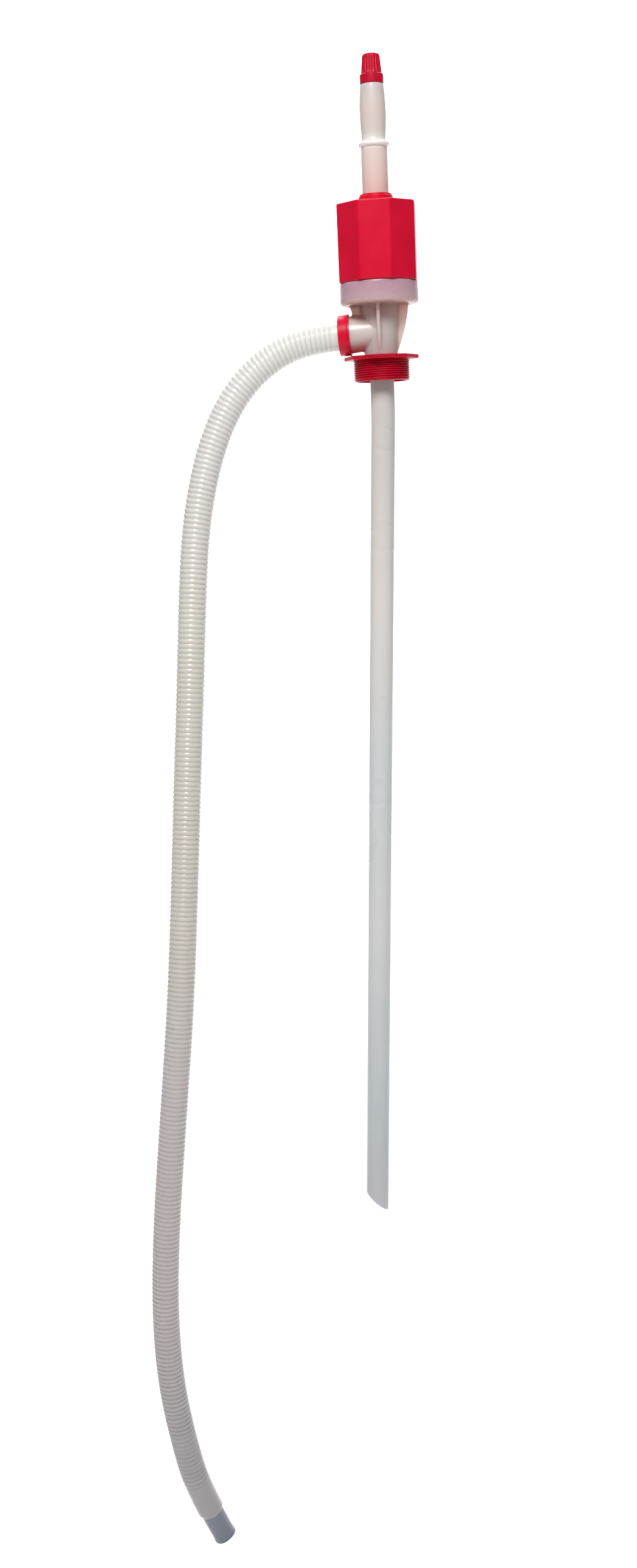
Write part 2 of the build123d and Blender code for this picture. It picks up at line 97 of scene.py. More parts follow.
def finish_mesh(name, mesh, sharp=50):
    """Weld, turn the faces outward, smooth the shading and wrap the mesh in an object."""
    work = bmesh.new()
    work.from_mesh(mesh)
    bmesh.ops.remove_doubles(work, verts=work.verts, dist=WELD)
    bmesh.ops.dissolve_degenerate(work, edges=work.edges, dist=DEGENERATE)
    bmesh.ops.recalc_face_normals(work, faces=work.faces)
    work.to_mesh(mesh)
    work.free()
    mesh.shade_smooth()
    mesh.set_sharp_from_angle(angle=math.radians(sharp))
    piece = bpy.data.objects.new(name, mesh)
    collection.objects.link(piece)
    weighted = piece.modifiers.new("even_shading", "WEIGHTED_NORMAL")
    weighted.keep_sharp = True
    return piece


def skin(name, rings, sharp=50):
    """One closed skin over rings of points; the last ring joins the first."""
    count = len(rings[0])
    points = [point for ring in rings for point in ring]
    faces = []
    for row in range(len(rings)):
        after = (row + 1) % len(rings)
        for side in range(count):
            beside = (side + 1) % count
            faces.append((row * count + side, row * count + beside,
                          after * count + beside, after * count + side))
    mesh = bpy.data.meshes.new(name)
    mesh.from_pydata([tuple(point) for point in points], [], faces)
    return finish_mesh(name, mesh, sharp)


LARGEST_CUT = 0.45


def soften(corners, radius, steps=3):
    """Round each corner of a closed outline of (radius, height) points in millimetres."""
    rounded = []
    for index, corner in enumerate(corners):
        here = Vector(corner)
        back = Vector(corners[index - 1]) - here
        ahead = Vector(corners[(index + 1) % len(corners)]) - here
        straight = abs(back.normalized().dot(ahead.normalized())) > 0.999
        if here.x < 1e-6 or straight:
            rounded.append(here)
            continue
        cut = min(radius, LARGEST_CUT * back.length, LARGEST_CUT * ahead.length)
        start = here + back.normalized() * cut
        end = here + ahead.normalized() * cut
        for step in range(steps + 1):
            share = step / steps
            bend = here * 2 * share * (1 - share)
            rounded.append(start * (1 - share) ** 2 + bend + end * share ** 2)
    return rounded


def turned(name, outline, place=None, sides=96, shape=None, sharp=50):
    """A piece turned about Z from an outline in millimetres; shape(angle, radius, height)
    gives each point's own radius, and place moves it from the Z axis to where it belongs."""
    place = place or Matrix()
    rings = []
    for radius, height in outline:
        ring = []
        for side in range(sides):
            angle = 2 * math.pi * side / sides
            reach = shape(angle, radius, height) if shape else radius
            point = Vector((reach * math.cos(angle), reach * math.sin(angle), height)) * MM
            ring.append(place @ point)
        rings.append(ring)
    return skin(name, rings, sharp)


def moulded_copy(name, node, grain_mm, passes):
    """A copy of a CAD piece whose corners flow into each other, as a moulding's do."""
    mesh = node.data.copy()
    mesh.transform(node.matrix_world)
    work = bmesh.new()
    work.from_mesh(mesh)
    bmesh.ops.remove_doubles(work, verts=work.verts, dist=WELD)
    work.to_mesh(mesh)
    work.free()
    holder = bpy.data.objects.new("moulding", mesh)
    collection.objects.link(holder)
    remesh = holder.modifiers.new("even_skin", "REMESH")
    remesh.mode = "VOXEL"
    remesh.voxel_size = grain_mm * MM
    smooth = holder.modifiers.new("flowing_corners", "SMOOTH")
    smooth.factor = 0.5
    smooth.iterations = passes
    bpy.context.view_layer.update()
    graph = bpy.context.evaluated_depsgraph_get()
    moulded = bpy.data.meshes.new_from_object(holder.evaluated_get(graph))
    bpy.data.objects.remove(holder)
    return finish_mesh(name, moulded, NO_SHARP_EDGES)


def ease(value):
    """From 0 to 1 along a smooth S."""
    value = min(max(value, 0.0), 1.0)
    return value * value * (3 - 2 * value)


def octagon_reach(angle, across_flats, first_flat, crispness=120):
    """From the centre to the side of an octagon with rounded corners; first_flat is the
    way that one of its flats faces, in degrees."""
    total = 0.0
    for side in range(8):
        facing = math.cos(angle - math.radians(first_flat + 45 * side))
        total += max(facing, 0.0) ** crispness
    return across_flats / 2 / total ** (1 / crispness)


def thread_wave(angle, height, pitch):
    """How far down a right-hand thread: 0 on its crest, 1 in its root."""
    return 0.5 - 0.5 * math.cos(2 * math.pi * height / pitch - angle)


def evenly(low, high, step):
    """Values from low to high at about that step, both ends included."""
    count = max(1, round(abs(high - low) / step))
    return [low + (high - low) * index / count for index in range(count + 1)]


# ---- Materials ----


def hex_colour(code):
    """An sRGB hex colour as the linear colour that shaders take."""
    parts = [int(code[start:start + 2], 16) / 255 for start in (1, 3, 5)]
    linear = [part / 12.92 if part <= 0.04045 else ((part + 0.055) / 1.055) ** 2.4
              for part in parts]
    return (*linear, 1.0)


def add_node(tree, kind, settings=None, links=None):
    """A node of that kind, with its settings and links by name or by input number."""
    node = tree.nodes.new(kind)
    for name, value in (settings or {}).items():
        if isinstance(name, str) and hasattr(node, name):
            setattr(node, name, value)
    for name, value in (settings or {}).items():
        if not (isinstance(name, str) and hasattr(node, name)):
            node.inputs[name].default_value = value
    for name, source in (links or {}).items():
        tree.links.new(source, node.inputs[name])
    return node


def start_material(name):
    """A bare material with its shader and a place to read positions in metres."""
    material = bpy.data.materials.new(name)
    material.use_nodes = True
    tree = material.node_tree
    tree.nodes.clear()
    shader = add_node(tree, "ShaderNodeBsdfPrincipled")
    add_node(tree, "ShaderNodeOutputMaterial", links={"Surface": shader.outputs["BSDF"]})
    place = add_node(tree, "ShaderNodeTexCoord").outputs["Object"]
    return material, tree, shader, place


def per_metre(size_mm):
    """The pattern scale that makes one feature of a texture this many millimetres."""
    return 1 / (size_mm * MM)


def soft_clouds(tree, place, size_mm):
    """Noise that drifts slowly between 0 and 1, with features of about that size."""
    settings = {"Scale": per_metre(size_mm), "Detail": 3.0, "Roughness": 0.5}
    return add_node(tree, "ShaderNodeTexNoise", settings, {"Vector": place}).outputs["Fac"]


def banded(tree, place, shader, bands, drift_mm, cloud_mm):
    """Colour by height from (height in millimetres, colour) bands, lowest first. Soft clouds
    move the bands up and down, as pigment, wall thickness and what shows through vary."""
    low, high = bands[0][0], bands[-1][0]
    reach = high - low
    drift = drift_mm / reach
    height = add_node(tree, "ShaderNodeSeparateXYZ", links={"Vector": place})
    moved = add_node(tree, "ShaderNodeMapRange",
                     {"From Min": 0.0, "From Max": 1.0, "To Min": -drift, "To Max": drift, "clamp": False},
                     {"Value": soft_clouds(tree, place, cloud_mm)})
    share = add_node(tree, "ShaderNodeMapRange",
                     {"From Min": low * MM, "From Max": high * MM, "clamp": False},
                     {"Value": height.outputs["Z"]})
    total = add_node(tree, "ShaderNodeMath", {"operation": "ADD"},
                     {0: share.outputs["Result"], 1: moved.outputs["Result"]})
    ramp = add_node(tree, "ShaderNodeValToRGB", links={"Fac": total.outputs["Value"]})
    stops = ramp.color_ramp.elements
    while len(stops) < len(bands):
        stops.new(1.0)
    for stop, (band, code) in zip(stops, bands):
        stop.position = (band - low) / reach
        stop.color = hex_colour(code)
    tree.links.new(ramp.outputs["Color"], shader.inputs["Base Color"])


def mottled(tree, place, shader, pale, deep, size_mm):
    """Colour that drifts between two tones, as pigment varies."""
    ramp = add_node(tree, "ShaderNodeValToRGB", links={"Fac": soft_clouds(tree, place, size_mm)})
    dark, light = ramp.color_ramp.elements
    dark.position = 0.3
    dark.color = hex_colour(deep)
    light.position = 0.7
    light.color = hex_colour(pale)
    tree.links.new(ramp.outputs["Color"], shader.inputs["Base Color"])


WEAR_PER_GRAIN = 30


def grained(tree, place, shader, size_mm, height_mm, smoothest, roughest):
    """A fine mould texture in the bump, and a roughness that varies in larger patches."""
    grain = add_node(tree, "ShaderNodeTexNoise", {"Scale": per_metre(size_mm), "Detail": 2.0},
                     {"Vector": place})
    worn = add_node(tree, "ShaderNodeTexNoise",
                    {"Scale": per_metre(size_mm * WEAR_PER_GRAIN), "Detail": 4.0}, {"Vector": place})
    gloss = add_node(tree, "ShaderNodeMapRange",
                     {"From Min": 0.3, "From Max": 0.7, "To Min": smoothest, "To Max": roughest},
                     {"Value": worn.outputs["Fac"]})
    tree.links.new(gloss.outputs["Result"], shader.inputs["Roughness"])
    bump = add_node(tree, "ShaderNodeBump", {"Strength": 0.6, "Distance": height_mm * MM},
                    {"Height": grain.outputs["Fac"]})
    tree.links.new(bump.outputs["Normal"], shader.inputs["Normal"])
    return bump


def red_polypropylene(name, pale, deep):
    """Injection-moulded red polypropylene: satin, evenly pigmented, with a fine
    spark-eroded grain that breaks its highlights up."""
    material, tree, shader, place = start_material(name)
    mottled(tree, place, shader, pale, deep, 25)
    grained(tree, place, shader, 0.8, 0.04, 0.3, 0.42)
    shader.inputs["IOR"].default_value = 1.49
    shader.inputs["Specular IOR Level"].default_value = 0.25
    return material


def natural_polyethylene(name, bands, drift_mm=4, roughness=0.3, scatter_mm=3, lines_mm=None):
    """Unpigmented polyethylene: milky and waxy, its tone set by the light and the pieces
    behind its wall. Extruded pieces have faint die lines along them, lines_mm apart."""
    material, tree, shader, place = start_material(name)
    banded(tree, place, shader, bands, drift_mm, 30)
    bump = grained(tree, place, shader, 2.5, 0.03, roughness - 0.06, roughness + 0.08)
    if lines_mm:
        stretch = add_node(tree, "ShaderNodeMapping", {"Scale": (1.0, 1.0, 0.01)}, {"Vector": place})
        lines = add_node(tree, "ShaderNodeTexNoise", {"Scale": per_metre(lines_mm), "Detail": 2.0},
                         {"Vector": stretch.outputs["Vector"]})
        drawn = add_node(tree, "ShaderNodeBump", {"Strength": 0.5, "Distance": 0.05 * MM},
                         {"Height": lines.outputs["Fac"], "Normal": bump.outputs["Normal"]})
        tree.links.new(drawn.outputs["Normal"], shader.inputs["Normal"])
    shader.inputs["IOR"].default_value = 1.51
    shader.inputs["Subsurface Weight"].default_value = 0.8
    shader.inputs["Subsurface Radius"].default_value = (1.0, 0.9, 0.85)
    shader.inputs["Subsurface Scale"].default_value = scatter_mm * MM
    return material


def nitrile_rubber():
    """Moulded nitrile rubber: near black, matt, faintly dusty."""
    material, tree, shader, place = start_material("nitrile_rubber")
    mottled(tree, place, shader, "#2b2b2d", "#19191b", 6)
    grained(tree, place, shader, 0.5, 0.03, 0.55, 0.72)
    return material


def white_acetal():
    """Moulded acetal: dense white, smooth, slightly waxy."""
    material, tree, shader, place = start_material("white_acetal")
    mottled(tree, place, shader, "#efeeea", "#dfddd6", 12)
    grained(tree, place, shader, 0.9, 0.03, 0.28, 0.38)
    return material


def stainless_wire():
    """Drawn stainless wire: bright, with fine marks from the die."""
    material, tree, shader, place = start_material("stainless_wire")
    mottled(tree, place, shader, "#c9cacc", "#a9abae", 3)
    grained(tree, place, shader, 0.3, 0.01, 0.2, 0.32)
    shader.inputs["Metallic"].default_value = 1.0
    return material


red_housing = red_polypropylene("red_polypropylene", "#dd0833", "#d1042f")
# The adapter's red is set darker than the housing's, partly painted shade for its place under its flange
# and the pump head.
red_adapter = red_polypropylene("dark_red_polypropylene", "#c8082c", "#b90628")
red_cap = red_polypropylene("deep_red_polypropylene", "#ca0831", "#be052d")
# Bands are heights in millimetres, each with its colour. The body is pink where the red cylinder and its
# sleeve show through the wall, painted red light from them, and greyer below them. The darker band at
# 56.2 mm, on the cup's lower edge and underside, is painted shade under the cup.
body_bands = [(-16, "#d6d2cf"), (4, "#d8cdc7"), (28, "#ddcec8"), (38, "#dbc5be"), (50, "#d2ada6"),
              (56.2, "#b8948f"), (57.6, "#c9aaa8"), (60, "#cfacb1"), (66, "#d2a6b2"), (78, "#cf9bab")]
# The handle is pink near the red gland, painted red light from it, and palest at the stop bead
# and the waist just above it.
handle_bands = [(120, "#e0c3bd"), (168, "#e7ccc6"), (188, "#e7d2cb"), (209, "#e6d7cf"),
                (213, "#f6f2ef"), (219, "#ebe6e1"), (228, "#ddd2ca"), (250, "#dccfc7"), (274, "#d6cdcc")]
# The tube darkens towards its lower end, painted shade where the light falls off towards the floor, and is
# darker near its top, painted shadow under the adapter.
tube_bands = [(-958, "#c6c5ca"), (-830, "#c9d0d3"), (-620, "#dfdfde"), (-430, "#dbdfdf"),
              (-250, "#eae1dc"), (-60, "#d8d1cd"), (0, "#d2ccc8")]
# The hose darkens towards its lower end: painted shade where the light falls off towards the floor, and
# partly its closer-packed ribs there.
hose_bands = [(-1330, "#a8a4a6"), (-1240, "#b0adaf"), (-1050, "#cac1c1"), (-800, "#cfc7c5"),
              (-570, "#ddd7cd"), (-320, "#e0dacf"), (-60, "#e8e4df"), (32, "#ebece4")]
# The groove colours, darker than the hose's, are painted shade in the grooves between the ribs; they darken
# towards the lower end as the hose's do.
groove_shade_bands = [(-1330, "#9b989b"), (-1050, "#bab2b3"), (-570, "#d0cbc4"), (-60, "#dddbd7"),
                (32, "#e3e3de")]
# The nozzle darkens towards its lip: painted shade where the light falls off towards the floor.
nozzle_bands = [(-1370, "#7a7f8a"), (-1300, "#868b96")]
natural_body = natural_polyethylene("natural_polyethylene_moulding", body_bands, 0.4, scatter_mm=16)
natural_handle = natural_polyethylene("natural_polyethylene_handle", handle_bands, 3)
natural_tube = natural_polyethylene("natural_polyethylene_tube", tube_bands, 30, lines_mm=1.2)
hose_plastic = natural_polyethylene("milky_hose_polyethylene", hose_bands, 20, 0.26)
groove_shade_plastic = natural_polyethylene("hose_groove_painted_shade", groove_shade_bands, 20, 0.26)
blue_grey_vinyl = natural_polyethylene("blue_grey_vinyl", nozzle_bands, 10, 0.24)
rubber = nitrile_rubber()
acetal = white_acetal()
steel = stainless_wire()


def finish(piece, material, body, node):
    """Give a piece its material and its body, and hide the CAD node that it stands for."""
    piece.data.materials.clear()
    piece.data.materials.append(material)
    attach(piece, body)
    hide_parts(node)


# ---- Bung adapter ----
THREAD_PITCH = 2.309
THREAD_ROOT = 28.32
THREAD_CREST = 29.8
FLANGE_ACROSS_FLATS = 73.0
HUB_RADIUS = 15.5
RUNNING_FIT = 0.08


def make_bung_adapter():
    """Octagonal flange over a hollow barrel with a true helical thread."""
    bore = HUB_RADIUS + RUNNING_FIT
    foot = -22.0
    flange = FLANGE_ACROSS_FLATS / 2
    outline = [(bore, 0.3), (bore + 0.3, 0), (25.0, 0), (25.72, -0.8), (25.72, foot + 0.5), (26.2, foot)]
    outline += [(THREAD_ROOT - 0.4, foot), (THREAD_ROOT, foot + 0.4)]
    outline += [(THREAD_CREST, height) for height in evenly(foot + 0.6, -0.6, THREAD_PITCH / 12)]
    outline += [(THREAD_ROOT + 0.3, -0.3), (THREAD_ROOT + 0.7, 0)]
    outline += [(flange - 0.9, 0), (flange - 0.3, 0.25), (flange, 0.9), (flange, 3.1)]
    outline += [(flange - 0.3, 3.75), (flange - 0.9, 4), (bore + 0.4, 4), (bore, 3.6)]

    def shape(angle, radius, height):
        if radius > THREAD_CREST + 1:
            return radius * octagon_reach(angle, FLANGE_ACROSS_FLATS, 22.5) / flange
        if radius == THREAD_CREST:
            cut = ease((height - foot) / 2) * ease(-height / 1.6)
            depth = THREAD_CREST - THREAD_ROOT
            return THREAD_CREST - depth * (1 - cut + cut * thread_wave(angle, height, THREAD_PITCH))
        return radius

    piece = turned("threaded_bung_adapter", outline, sides=192, shape=shape, sharp=75)
    finish(piece, red_adapter, "adapter", "bung_adapter")


# ---- Pump body, collar and suction tube ----
SPOUT_HEIGHT = 28.2
SPOUT_DROOP = math.radians(2.5)
MOULD_GRAIN = 0.8
MOULD_PASSES = 7


def spout_place():
    """The spout's own frame: +Z out of its mouth, from the pump's axis."""
    outward = Vector((-math.cos(SPOUT_DROOP), 0, -math.sin(SPOUT_DROOP)))
    across = Vector((0, -1, 0))
    turn = Matrix((across, outward.cross(across), outward)).transposed().to_4x4()
    return Matrix.Translation((0, 0, SPOUT_HEIGHT * MM)) @ turn


def make_pump_body():
    """Hub, neck, spout, cup and gussets in one blown and moulded piece, every corner rounded."""
    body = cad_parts["pump_body"]
    piece = moulded_copy("moulded_pump_body", body, MOULD_GRAIN, MOULD_PASSES)
    finish(piece, natural_body, "pump_head", "pump_body")


def make_hose_collar():
    """Collar with a raised band at its pump side."""
    start, end = 31.5, 43.5
    spout, band, hose_hole, lip = 19.02, 21.4, 15.8, 1.4
    outline = [(spout, start), (band, start), (band, start + 1.8), (20.9, start + 2.1), (20.9, start + 2.6)]
    outline += [(21.15, start + 2.9), (20.6, end), (hose_hole, end), (hose_hole, end - lip)]
    outline.append((spout, end - lip))
    piece = turned("hose_collar_ring", soften(outline, 0.35, 2), spout_place())
    finish(piece, red_housing, "pump_head", "hose_collar")


# ---- Lines that tubes and hoses follow ----


class Walk:
    """A line that can be asked for its place and direction at any length along it."""

    def __init__(self, points):
        self.points = points
        self.lengths = [0.0]
        for before, after in zip(points, points[1:]):
            self.lengths.append(self.lengths[-1] + (after - before).length)
        self.total = self.lengths[-1]

    def at(self, length):
        length = min(max(length, 0.0), self.total - 1e-9)
        low, high = 0, len(self.lengths) - 1
        while high - low > 1:
            middle = (low + high) // 2
            if self.lengths[middle] <= length:
                low = middle
            else:
                high = middle
        share = (length - self.lengths[low]) / (self.lengths[high] - self.lengths[low])
        return self.points[low].lerp(self.points[high], share)

    def direction(self, length):
        reach = 1.5 * MM
        return (self.at(length + reach) - self.at(length - reach)).normalized()


def rings_along(walk, stations, sides):
    """Rings of points round a line; stations are (length, radius) pairs in metres."""
    across = Vector((0, 1, 0))
    rings = []
    for length, radius in stations:
        ahead = walk.direction(length)
        across = (across - ahead * across.dot(ahead)).normalized()
        upward = ahead.cross(across)
        centre = walk.at(length)
        ring = []
        for side in range(sides):
            angle = 2 * math.pi * side / sides
            ring.append(centre + (across * math.cos(angle) + upward * math.sin(angle)) * radius)
        rings.append(ring)
    return rings


TUBE_TOP = -1.0
TUBE_LENGTH = 958.0
TUBE_RADIUS = 12.7
TUBE_BORE = 11.2
SET_ANGLE = math.radians(2.5)
SET_START = 54.0
SET_RADIUS = 1000.0
SLANT = math.radians(42)


def tube_line():
    """The suction tube's centre line: straight down, a long gentle set, then straight."""
    tangent = SET_RADIUS * math.tan(SET_ANGLE / 2)
    line = [Vector((0, 0, TUBE_TOP)), Vector((0, 0, -SET_START + tangent))]
    centre = Vector((-SET_RADIUS, 0, -SET_START + tangent))
    for angle in evenly(0, SET_ANGLE, SET_ANGLE / 12)[1:]:
        line.append(centre + Vector((math.cos(angle), 0, -math.sin(angle))) * SET_RADIUS)
    way = Vector((-math.sin(SET_ANGLE), 0, -math.cos(SET_ANGLE)))
    line.append(Vector((0, 0, -SET_START)) + way * (TUBE_LENGTH - SET_START))
    return [point * MM for point in line], way


def make_suction_tube():
    """Extruded tube, with its lower end cut at a slant so that it can't seal on a floor."""
    points, way = tube_line()
    walk = Walk(points)
    normal = Vector((math.sin(SLANT), 0, math.cos(SLANT)))
    cut_point = points[-1] - way * TUBE_RADIUS * MM
    near_cut = walk.total - 35 * MM
    lengths = evenly(0, near_cut - 1 * MM, 12 * MM) + evenly(near_cut, walk.total, 1.5 * MM)
    outside = [(length, TUBE_RADIUS * MM) for length in lengths]
    inside = [(length, TUBE_BORE * MM) for length in reversed(lengths)]
    rings = rings_along(walk, outside + inside, 64)
    for ring in rings:
        for index, place in enumerate(ring):
            past = (place - cut_point).dot(normal)
            if past < 0:
                ring[index] = place - way * (past / way.dot(normal))
    piece = skin("suction_pipe", rings, 40)
    finish(piece, natural_tube, "pump_head", "suction_tube")


# ---- Cylinder housing and gland nut ----
HOUSING_ACROSS_FLATS = 80.0
HOUSING_BOTTOM = 78.6
HOUSING_TOP = 157.0
ROD_BORE = 13.73
GLAND_SPIGOT = 16.0


def make_cylinder_housing():
    """Octagonal cylinder with crisp flats, a rounded top edge, a gland boss and a skirt."""
    side = HOUSING_ACROSS_FLATS / 2
    skirt, groove, bore = 37.1, 35.9, 34.0
    outline = [(bore, 62.8), (skirt, 62.8), (skirt, 73.1), (groove, 73.1), (groove, 75.7), (skirt, 75.7)]
    outline += [(skirt, HOUSING_BOTTOM), (side - 0.5, HOUSING_BOTTOM), (side, HOUSING_BOTTOM + 0.5)]
    for angle in evenly(0, math.pi / 2, math.pi / 12):
        outline.append((side - 1.6 + 1.6 * math.cos(angle), HOUSING_TOP - 1.6 + 1.6 * math.sin(angle)))
    outline += [(GLAND_SPIGOT, HOUSING_TOP), (GLAND_SPIGOT, 146), (ROD_BORE, 146), (ROD_BORE, 143.5)]
    outline += [(19.5, 143.5), (19.5, 152), (bore, 152)]

    def shape(angle, radius, height):
        if radius > skirt and height >= HOUSING_BOTTOM:
            return radius * octagon_reach(angle, HOUSING_ACROSS_FLATS, 0) / side
        return radius

    piece = turned("octagonal_cylinder", outline, sides=240, shape=shape, sharp=40)
    finish(piece, red_housing, "pump_head", "cylinder_housing")


def make_gland_nut():
    """Flanged screw plug round the rod, with a fine bead on its top."""
    foot, top, spigot, collar, seat = 149, 165.9, GLAND_SPIGOT - 0.02, 17.85, HOUSING_TOP + 0.02
    outline = [(ROD_BORE, foot), (spigot, foot), (spigot, seat), (collar, seat), (collar, 163.6)]
    outline += [(16.9, 164.4), (16.9, top), (ROD_BORE, top)]
    piece = turned("rod_gland", soften(outline, 0.4, 2))
    finish(piece, red_housing, "pump_head", "gland_nut")


# ---- Handle and vent cap ----
SHOULDER = 273.7
VENT_NECK_TOP = 288.7
CAP_PITCH = 3.0
CAP_TOP = 303.0


def make_handle():
    """Hollow rod: piston spigot, barrel, stop bead, waist, swelling grip and threaded neck."""
    barrel, waist, shoulder, neck = 13.65, 12.3, 12.1, 8.0
    bead_radius, bead_middle, waist_height = 2.4, 215.0, 221.0
    outline = [(9.6, 121.1), (9.9, 120.9), (11.6, 120.9), (12.0, 121.3), (12.0, 142.9), (barrel, 143.0)]
    for angle in evenly(-math.pi / 2, math.pi / 2, math.pi / 10):
        proud = 0.97 * bead_radius * math.cos(angle)
        outline.append((barrel + proud, bead_middle + bead_radius * math.sin(angle)))
    outline += [(13.3, 218.2), (12.7, 219.6)]
    for share in evenly(0, 1, 1 / 16):
        swell = 1.3 * math.sin(math.pi * share)
        height = waist_height + (SHOULDER - 1.2 - waist_height) * share
        outline.append((waist + (shoulder - waist) * share + swell, height))
    outline += [(shoulder - 0.3, SHOULDER - 0.4), (shoulder - 1.1, SHOULDER), (neck, SHOULDER)]
    outline += [(neck, height) for height in evenly(SHOULDER + 0.8, VENT_NECK_TOP - 0.8, CAP_PITCH / 12)]
    outline += [(neck - 0.6, VENT_NECK_TOP - 0.2), (neck - 1.0, VENT_NECK_TOP), (4.8, VENT_NECK_TOP)]
    outline += [(4.5, VENT_NECK_TOP - 0.3), (4.5, 271.3), (9.9, 266.5), (9.9, 221), (11.25, 212.6)]
    outline += [(11.25, 145.3), (9.6, 142.9)]

    def shape(angle, radius, height):
        if radius == neck and height > SHOULDER:
            cut = ease((height - SHOULDER) / 2) * ease((VENT_NECK_TOP - height) / 2)
            return neck - 0.75 * (1 - cut + cut * thread_wave(angle, height, CAP_PITCH))
        return radius

    piece = turned("handle_rod", outline, shape=shape, sharp=60)
    finish(piece, natural_handle, "handle", "handle_tube")


def make_vent_cap():
    """Screw cap with a plain band, and a domed, fluted crown to turn it by."""
    flutes = 18
    bottom = SHOULDER + 0.2
    band_top = SHOULDER + 9.3
    bore, ceiling, band = 8.3, 290.8, 12.2
    outline = [(0, ceiling), (bore, ceiling), (bore, bottom + 0.5), (bore + 0.5, bottom)]
    outline += [(band - 0.4, bottom), (band, bottom + 0.5), (band, band_top - 0.7)]
    outline += [(band - 0.3, band_top - 0.2), (11.3, band_top)]
    for share in evenly(0, 1, 1 / 8):
        outline.append((10.75 - 1.6 * share, band_top + 0.5 + (CAP_TOP - 3.4 - band_top) * share))
    for angle in evenly(math.pi / 10, math.pi / 2, math.pi / 10):
        outline.append((6.3 + 2.85 * math.cos(angle), CAP_TOP - 2.9 + 2.9 * math.sin(angle)))
    outline.append((0, CAP_TOP))

    def shape(angle, radius, height):
        if radius > 6.3 and height > band_top:
            fade = ease((height - band_top - 0.4) / 1.5) * ease((CAP_TOP - 1.6 - height) / 2.5)
            return radius - 0.75 * fade * (0.5 + 0.5 * math.cos(flutes * angle)) ** 1.5
        return radius

    piece = turned("fluted_vent_cap", outline, sides=flutes * 10, shape=shape, sharp=60)
    finish(piece, red_cap, "cap", "vent_cap")


make_bung_adapter()
make_pump_body()
make_hose_collar()
make_suction_tube()
make_cylinder_housing()
make_gland_nut()
make_handle()
make_vent_cap()

# ---- Discharge hose ----
HOSE_RADIUS = 15.5
HOSE_ROOT = 14.4
HOSE_BORE = 13.0
RIB_PITCH = 5.3
RIB_STEPS = 6
HOSE_SIDES = 40
CUFF_END = 15.0
CUFF_FADE = 6.0
TAIL_LENGTH = 34.0
TAIL_FADE = 24.0
CUFF_INSET = 0.3
# The hose's route in metres, (x, y, z): out along the spout, over its arch and down.
HOSE_ROUTE = [
    (-0.03097, 0.0, 0.02685),
    (-0.07493, 0.0, 0.02493),
    (-0.117, -0.001, 0.0085),
    (-0.153, -0.004, -0.023),
    (-0.178, -0.008, -0.066),
    (-0.194, -0.014, -0.115),
    (-0.205, -0.021, -0.172),
    (-0.211, -0.029, -0.244),
    (-0.217, -0.039, -0.340),
    (-0.225, -0.049, -0.448),
    (-0.233, -0.057, -0.560),
    (-0.243, -0.063, -0.680),
    (-0.259, -0.066, -0.815),
    (-0.275, -0.066, -0.945),
    (-0.284, -0.064, -1.055),
    (-0.283, -0.060, -1.150),
    (-0.272, -0.054, -1.232),
    (-0.262, -0.049, -1.283),
    (-0.2475, -0.0435, -1.322),
]


def smooth_line(route):
    """Points along the smooth NURBS curve that a route's points control."""
    curve = bpy.data.curves.new("route", "CURVE")
    curve.dimensions = "3D"
    spline = curve.splines.new("NURBS")
    spline.points.add(len(route) - 1)
    for point, place in zip(spline.points, route):
        point.co = (*place, 1)
    spline.order_u = 3
    spline.use_endpoint_u = True
    spline.resolution_u = 32
    holder = bpy.data.objects.new("route", curve)
    collection.objects.link(holder)
    mesh = bpy.data.meshes.new_from_object(holder)
    points = [vertex.co.copy() for vertex in mesh.vertices]
    bpy.data.objects.remove(holder)
    bpy.data.curves.remove(curve)
    bpy.data.meshes.remove(mesh)
    return points


def hose_radius(length, total):
    """Outside radius in millimetres at a length along the hose, in millimetres."""
    ribbed = ease((length - CUFF_END) / CUFF_FADE) * ease((total - TAIL_LENGTH - length) / TAIL_FADE)
    wave = 0.5 - 0.5 * math.cos(2 * math.pi * length / RIB_PITCH)
    end = 1.6 * (1 - ease((total - length) / 5))
    plain = HOSE_RADIUS - CUFF_INSET - end
    return plain + ribbed * (HOSE_ROOT + (HOSE_RADIUS - HOSE_ROOT) * wave ** 0.6 - plain)


def make_hose():
    """Corrugated hose with plain cuffs; the faces in the grooves between its ribs take a darker colour,
    painted shade.
    """
    line = smooth_line(HOSE_ROUTE)
    walk = Walk(line)
    total = walk.total / MM
    lengths = evenly(0, total, RIB_PITCH / RIB_STEPS)
    outside = [(length, hose_radius(length, total)) for length in lengths]
    inside = [(length, HOSE_BORE) for length in lengths[::-RIB_STEPS]]
    stations = [(length * MM, radius * MM) for length, radius in outside + inside]
    hose = skin("corrugated_hose", rings_along(walk, stations, HOSE_SIDES), 80)
    finish(hose, hose_plastic, "pump_head", "discharge_hose")
    hose.data.materials.append(groove_shade_plastic)
    # Faces in the grooves take the darker material: painted shade between the ribs.
    groove_edge = HOSE_ROOT + 0.35 * (HOSE_RADIUS - HOSE_ROOT) + 0.25
    for face in hose.data.polygons:
        row = face.index // HOSE_SIDES
        if row < len(outside) - 1 and max(outside[row][1], outside[row + 1][1]) < groove_edge:
            face.material_index = 1
    return hose, line, walk


hose, hose_line, hose_walk = make_hose()
nozzle_place = hose_walk.points[-1]
nozzle_way = (Vector(HOSE_ROUTE[-1]) - Vector(HOSE_ROUTE[-2])).normalized()
NOZZLE_INSERTION = 24.0
NOZZLE_LENGTH = 62.0


